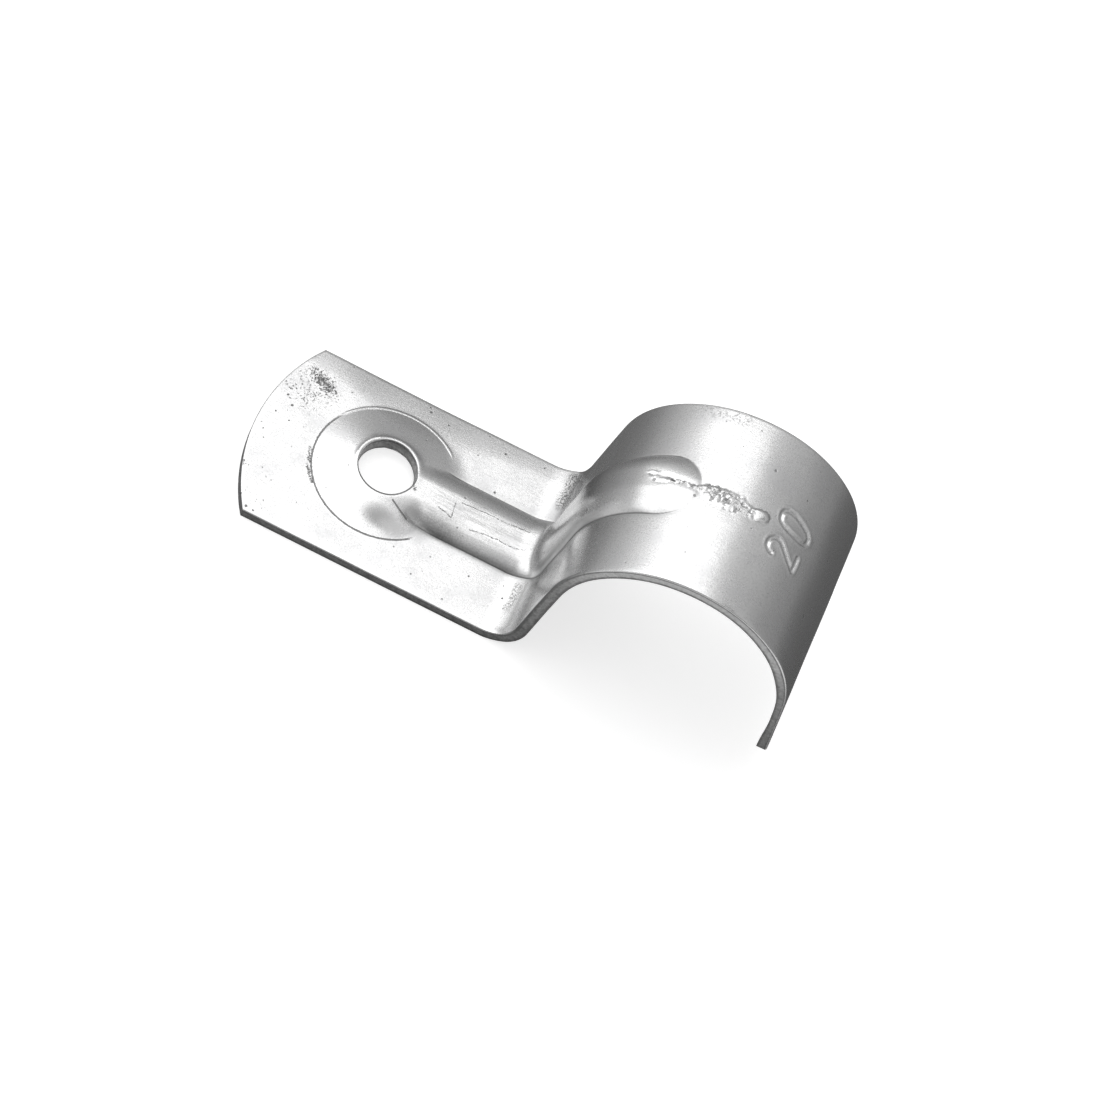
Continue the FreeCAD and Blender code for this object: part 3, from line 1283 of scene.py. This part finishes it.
    def strokes(self, on: Ground, x: Value, y: Value) -> tuple[Value, Value, Value]:
        """Straight marks on the foot.

        Args:
            on: The strap's places.
            x: First coordinate, which grain makes uneven.
            y: Second coordinate, which clouds make uneven.

        Returns:
            The scratches on the rib's crown, the crease lines beside the cone, and the burrs.
        """
        scratch = on.shader.scratch
        crown = strongest([scratch(x, y, one, 0.07) for one in self.crown_scratches])
        crease_strokes = strongest([scratch(on.x, on.y, one, 0.085) for one in self.cone_crease_lines])
        rough_x = x + (on.fine - 0.5) * 0.5
        burrs = strongest([scratch(rough_x, on.y, one, 0.17) for one in self.burrs])
        return (crown * on.fine.step(0.40, 0.62) * on.on_foot, crease_strokes * on.on_foot,
                burrs * on.sand.step(0.46, 0.62) * on.on_foot)

    def placed_spots(self, x: Value, y: Value) -> Value:
        """The larger pits, each at its own place."""
        return strongest([(squares(x - spot_x, y - spot_y) ** 0.5).step(radius, radius * 0.4)
                          for spot_x, spot_y, radius in self.spots])

    def marks(self, on: Ground) -> Value:
        """Stain, pits, the crust of the zinc run and the loop's worn far edge together.

        Args:
            on: The strap's places and noises.

        Returns:
            1 where they are darkest.
        """
        x, y, z = on.x, on.y, on.z
        pits, dots = self.pits(on, 0.55, 0.07, 0.66), self.pits(on, 1.2, 0.085, 0.62)
        dust = self.pits(on, 2.6, 0.13, 0.8) * on.on_foot * x.step(-33.0, -36.5)
        spots = self.placed_spots(x + (on.fine - 0.5) * 0.2, y + (on.grain - 0.5) * 0.2)
        spots = spots * on.on_foot
        crust = on.shader.field("crust") * on.fine.step(0.46, 0.60)
        worn = x.within(-7.4, -6.2, -2.6, -1.0) * y.step(7.5, 8.6) * z.step(7.5, 8.5)
        worn = worn * on.grain.step(0.53, 0.62)
        both = self.stain_patch(on) + pits * 0.6 + dots * 0.5 + dust * 0.6 + spots * 0.85
        return (both + crust * 0.28 + worn * 0.35).clamped()

    def dullness_and_shade(self, on: Ground, crease_shade: Value) -> Value:
        """Where the zinc is duller, with painted shade: sandy specks and streaks on the rib's
        crown, and painted shade towards the foot's far edge and along the rib's foot.

        Args:
            on: The strap's places and noises.
            crease_shade: How near a place is to the rib's foot, where shade is painted.

        Returns:
            1 where it is dullest or most shaded.
        """
        far = on.y.step(4.6, 9.2) * squares((on.x + 27.0) / 7.0).step(2.2, 0.0) * on.on_foot
        ridge = on.y.within(-2.4, -1.6, 1.0, 2.0) * on.x.within(-24.0, -22.5, -14.0, -13.2)
        # crease_shade adds painted shade along the rib's foot, and far adds painted shade towards
        # the foot's far edge.
        dull_and_shade = on.sand.step(0.46, 0.74) * (0.75 + far) + crease_shade * 0.35 + far * 0.65
        return (dull_and_shade + ridge * on.on_foot * on.streak.step(0.38, 0.66) * 0.7).clamped()

    def painted_shade(self, on: Ground) -> Value:
        """Painted shade by the cone's near side, on the rib's near flank and crown, and up the
        upright.

        Args:
            on: The strap's places and noises.

        Returns:
            1 where the painted shade is darkest.
        """
        x, y, z = on.x, on.y, on.z
        blob = squares((x + 26.1) / 2.2, (y + 4.1 + (on.cloud - 0.5)) / 1.2).step(1.3, 0.0)
        beside = squares((x + 24.6) / 1.3, (y + 2.0) / 1.1).step(1.2, 0.0)
        blob = blob + beside * 0.6
        shade = x.step(-18.5, -21.5) * y.step(-0.4, -1.5) + y.step(-1.7, -2.5) * 0.6
        shade = shade * y.step(-3.6, -3.0) * x.within(-25.4, -24.0, -15.0, -13.5)
        upright = z.within(-7.6, -6.0, 3.0, 6.0) * x.step(-8.6, -9.8) * y.step(4.2, 2.6)
        low = (blob * 0.85 + shade * (on.sand + 0.1)) * on.on_foot
        return (low + upright * (on.streak * 0.5 + 0.62)).clamped()

    def near_edge_shade(self, on: Ground) -> Value:
        """Painted shade: a dark line along the near edge of the upright."""
        high = on.z.within(-8.2, -6.5, 5.0, 9.0)
        return on.y.step(-9.25, -9.34) * high * on.x.step(-7.5, -9.0)

    def material(self) -> bpy.types.Material:
        """Builds the finish.

        Returns:
            The material.
        """
        shader = Shader("zinc_plate")
        on = Ground.laid(shader)
        far_side = on.y.step(3.2, 4.8)
        marks, ring, scuffs = self.marks(on), self.ring_line(on), self.fold_scuffs(on)
        crown, crease_strokes, burrs = self.strokes(on, on.x + (on.grain - 0.5) * 0.3,
                                          on.y + (on.cloud - 0.5) * 0.8)
        crease_shade, crease = shader.field("crease_shade"), shader.field("crease").step(0.25, 0.85)
        # Lines: the ring's near side, the crease lines by the cone, the rib's crease and the
        # upright's near edge are painted shade; the crown scratches and burrs are real marks.
        lines = ring * (1 - far_side) + crease_strokes * 0.9 + crease * 0.95 + crown * 0.9 + burrs * 0.65
        lines = (lines + self.near_edge_shade(on) * 0.8).clamped()
        # Layers: dull zinc with painted shade, painted shade, a painted highlight on the ring's
        # far side, stains and pits, scuffs, and lines that are partly painted shade.
        layers = ((self.dullness_and_shade(on, crease_shade), self.dull_and_shade), (self.painted_shade(on), self.shade_tone),
                  (ring * far_side * on.grain.step(0.36, 0.5), self.highlight_tone),
                  (marks, self.stain), (scuffs * 0.8, self.line), (lines * 0.85, self.line))
        base = shader.mix(on.cloud.step(0.35, 0.7), self.pale, self.cloudy)
        for share, colour in layers:
            base = shader.mix(share, base, colour)
        rough = self.roughness + on.cloud.step(0.4, 0.7) * 0.05 + (on.grain - 0.5) * 0.1
        rough = (rough + marks * 0.3 + lines * 0.2 + crease_shade * 0.08).clamped()
        height = (on.grain - 0.5) * 0.005 + (on.fine - 0.5) * 0.0045 + (on.streak - 0.5) * 0.004
        height = height - marks * 0.03 - crease_strokes * 0.04 + scuffs * 0.08 - crown * 0.02
        height = height + ring * (far_side * 0.09 - 0.04) + burrs * 0.05
        return shader.finish(base, rough, height)


@dataclass(frozen=True)
class ShearedSteel:
    """The sheared edge: a burnished band, a rough torn band and a thin film of zinc."""

    torn: tuple = (0.25, 0.25, 0.25, 1.0)
    burnished: tuple = (0.70, 0.70, 0.70, 1.0)

    def material(self) -> bpy.types.Material:
        """Builds the finish.

        Returns:
            The material.
        """
        shader = Shader("sheared_edge")
        place = shader.place()
        grain = shader.noise(place, 6.0, 4.0, 0.7)
        tear = shader.noise(place, 2.2, 3.0, 0.7)
        _, _, z = shader.parts(place)
        core = shader.field("depth").within(0.16, 0.34, 0.66, 0.92)
        # Painted light: the burnished band is made lighter higher up the strap.
        lighter = core * (0.35 + z.step(1.5, 8.0) * 0.55)
        share = (lighter + (tear - 0.5) * 1.1 + (grain - 0.5) * 1.3).clamped()
        base = shader.mix(share, self.torn, self.burnished)
        rough = (0.42 + grain * 0.25).clamped()
        height = (grain - 0.5) * 0.05 + (tear - 0.5) * 0.04
        return shader.finish(base, rough, height)


@dataclass(frozen=True)
class PhotoView:
    """The camera that the photograph's outlines give."""

    azimuth: float = -4.209
    elevation: float = 55.902
    roll: float = 30.209
    focal_pixels: float = 4745.6
    distance: float = 405.0
    shift_right: float = -12.730
    shift_up: float = 1.956
    sensor: float = 36.0

    def build(self) -> bpy.types.Object:
        """Adds the camera and makes it the scene's.

        Returns:
            The camera.
        """
        a, e, roll = (math.radians(v) for v in (self.azimuth, self.elevation, self.roll))
        back = Vector((math.sin(a) * math.cos(e), -math.cos(a) * math.cos(e), math.sin(e)))
        level = Vector((math.cos(a), math.sin(a), 0.0))
        above = back.cross(level)
        right = math.cos(roll) * level + math.sin(roll) * above
        up = math.cos(roll) * above - math.sin(roll) * level
        place = right * self.shift_right + up * self.shift_up + back * self.distance
        data = bpy.data.cameras.new("camera")
        data.sensor_width = self.sensor
        data.lens = self.focal_pixels / IMAGE_SIDE * self.sensor
        data.clip_start, data.clip_end = 0.01, 20.0
        camera = bpy.data.objects.new("camera", data)
        bpy.context.scene.collection.objects.link(camera)
        turn = Matrix((right, up, back)).transposed().to_4x4()
        camera.matrix_world = Matrix.Translation(place * METRES) @ turn
        bpy.context.scene.camera = camera
        return camera


@dataclass(frozen=True)
class Softbox:
    """One soft lamp, aimed at the strap."""

    name: str
    toward: tuple
    distance: float
    width: float
    height: float
    radiance: float

    def build(self) -> bpy.types.Object:
        """Adds the lamp.

        Returns:
            The lamp.
        """
        data = bpy.data.lights.new(self.name, "AREA")
        data.shape = "RECTANGLE"
        data.size, data.size_y = self.width, self.height
        data.energy = self.radiance * math.pi * self.width * self.height
        lamp = bpy.data.objects.new(self.name, data)
        bpy.context.scene.collection.objects.link(lamp)
        aim = Vector(self.toward).normalized()
        above = aim.cross(Vector((1.0, 0.0, 0.0))).normalized()
        turn = Matrix((above.cross(aim), above, aim)).transposed().to_4x4()
        lamp.matrix_world = Matrix.Translation(aim * self.distance) @ turn
        return lamp


@dataclass(frozen=True)
class Studio:
    """The pale floor, the soft lamps, and the grey surround that only reflections see.

    Each tone of the surround's wall is the slant where it starts and stops to rise, and
    the tone before and after. Those of the disc below are its gain and its base.
    """

    floor_level: float = -9.745
    floor_side: float = 6.0
    floor_tone: float = 0.72
    floor_glow: float = 0.63
    world_tone: float = 0.52
    surround_radius: float = 1.0
    surround_top: float = 1.25
    surround_gap: float = 0.00001
    surround_sides: int = 96
    front_tone: float = 0.26
    crown_tone: float = 0.80
    hole_tone: float = 1.0
    disc_reach: float = 0.18
    disc_power: float = 0.6
    right_disc: tuple = (0.10, 0.075)
    left_disc: tuple = (0.33, 0.05)
    right_wall: tuple = (0.2, 1.1, 0.28, 0.57)
    left_wall: tuple = (-0.05, 0.75, 0.43, 0.88)
    middle_wall: tuple = (0.0, 1.1, 0.255, 0.485)
    front_wall: tuple = (0.3, 1.4, 0.08, 0.46)

    def floor(self) -> None:
        """Adds the floor, which is white to the camera and keeps the strap's shadow."""
        shader = Shader("floor_paper")
        tone = (self.floor_tone,) * 3 + (1.0,)
        paper = shader.node("ShaderNodeBsdfDiffuse", {}, {"Color": tone})
        seen, glossy, through = (
            shader.node("ShaderNodeLightPath", {}, {}, ray)
            for ray in ("Is Camera Ray", "Is Glossy Ray", "Is Transmission Ray"))
        strength = (seen + glossy + through).clamped() * self.floor_glow
        glow = shader.node("ShaderNodeEmission", {}, {"Strength": strength})
        both = shader.node("ShaderNodeAddShader", {}, {0: paper, 1: glow})
        bpy.ops.object.select_all(action="DESELECT")
        bpy.ops.mesh.primitive_plane_add(size=self.floor_side,
                                         location=(0.0, 0.0, self.floor_level * METRES))
        sheet = bpy.context.active_object
        sheet.name = "floor"
        sheet.data.materials.append(shader.surface(both))

    def surround_tone(self, shader: Shader) -> Value:
        """How bright the surround is at each place, in metres from the conduit's axis.

        Args:
            shader: The surround's material.

        Returns:
            The brightness.
        """
        x, y, z = shader.parts(shader.node("ShaderNodeTexCoord", {}, {}, "Object"))
        away = squares(x, y) ** 0.5
        left = (x / away).step(0.35, -0.35)
        reach = (away / self.disc_reach).clamped() ** self.disc_power
        right_disc, left_disc = (reach * gain + base for gain, base in
                                 (self.right_disc, self.left_disc))
        front = y.rising(-0.0180, -0.0225, self.front_tone, self.crown_tone)
        below = right_disc.toward(left_disc, left).toward(front, y.step(-0.0092, -0.0105))
        hole_x, hole_y = x + 0.0277, y - 0.0005
        hole = squares(hole_x, hole_y) ** 0.5
        patch = hole.step(0.0034, 0.0028) * hole_y.step(0.0008, 0.0013)
        below = below.toward(self.hole_tone, patch)
        right_wall, left_wall, middle, front_wall = (
            (z / away).rising(*tones) for tones in
            (self.right_wall, self.left_wall, self.middle_wall, self.front_wall))
        at_sides = (x / away).maths("ABSOLUTE").step(0.3, 0.7)
        wall = middle.toward(right_wall.toward(left_wall, left), at_sides)
        wall = wall.toward(front_wall, (y / away).step(-0.45, -0.9))
        return below.toward(wall, away.step(0.90, 0.99))

    def surround(self) -> None:
        """Adds the grey surround, as a photographer's flags round shiny metal."""
        shader = Shader("grey_surround")
        glow = shader.node("ShaderNodeEmission", {}, {"Strength": self.surround_tone(shader)})
        bpy.ops.object.select_all(action="DESELECT")
        level = self.floor_level * METRES + self.surround_gap
        bpy.ops.mesh.primitive_circle_add(
            vertices=self.surround_sides, radius=self.surround_radius, fill_type="NGON",
            location=(0.0, 0.0, level))
        sheet = bpy.context.active_object
        sheet.name = "surround"
        bpy.ops.object.mode_set(mode="EDIT")
        bpy.ops.mesh.select_mode(type="EDGE")
        bpy.ops.mesh.extrude_region_move(
            TRANSFORM_OT_translate={"value": (0.0, 0.0, self.surround_top)})
        bpy.ops.object.mode_set(mode="OBJECT")
        sheet.data.materials.append(shader.surface(glow))
        for ray in ("camera", "diffuse", "transmission", "shadow", "volume_scatter"):
            setattr(sheet, f"visible_{ray}", False)

    def world(self) -> None:
        """Sets the even light round the scene."""
        world = bpy.data.worlds.new("studio")
        world.use_nodes = True
        bpy.context.scene.world = world
        background = world.node_tree.nodes["Background"]
        background.inputs["Color"].default_value = (self.world_tone,) * 3 + (1.0,)
        background.inputs["Strength"].default_value = 1.0

    def lamps(self) -> list[Softbox]:
        """Three lamps from much the same side, small, middling and wide, and one at the left."""
        return [Softbox("key_lamp", (-0.295, 0.31, 0.90), 0.60, 0.53, 0.45, 0.81),
                Softbox("core_lamp", (-0.38, 0.31, 0.871), 0.58, 0.40, 0.40, 0.08),
                Softbox("wide_lamp", (-0.33, 0.242, 0.912), 0.70, 1.20, 0.683, 0.48),
                Softbox("left_lamp", (-0.74, -0.42, 0.50), 0.70, 0.34, 0.46, 0.9)]

    def build(self) -> None:
        """Adds the whole stage."""
        bpy.context.scene.view_settings.view_transform = "Standard"
        self.floor()
        self.surround()
        self.world()
        for lamp in self.lamps():
            lamp.build()


def main() -> None:
    """Builds the strap, the stage and the camera."""
    logging.basicConfig(level=logging.INFO, format="%(name)s: %(message)s")
    PhotoView().build()
    strap = StrapSheet().build(ZincPlate().material(), ShearedSteel().material())
    log.info("strap: %d vertices, %d faces", len(strap.data.vertices), len(strap.data.polygons))
    studio = Studio()
    studio.build()
    log.info("stage: floor, surround and %d lamps", len(studio.lamps()))


if __name__ == "__main__":
    main()
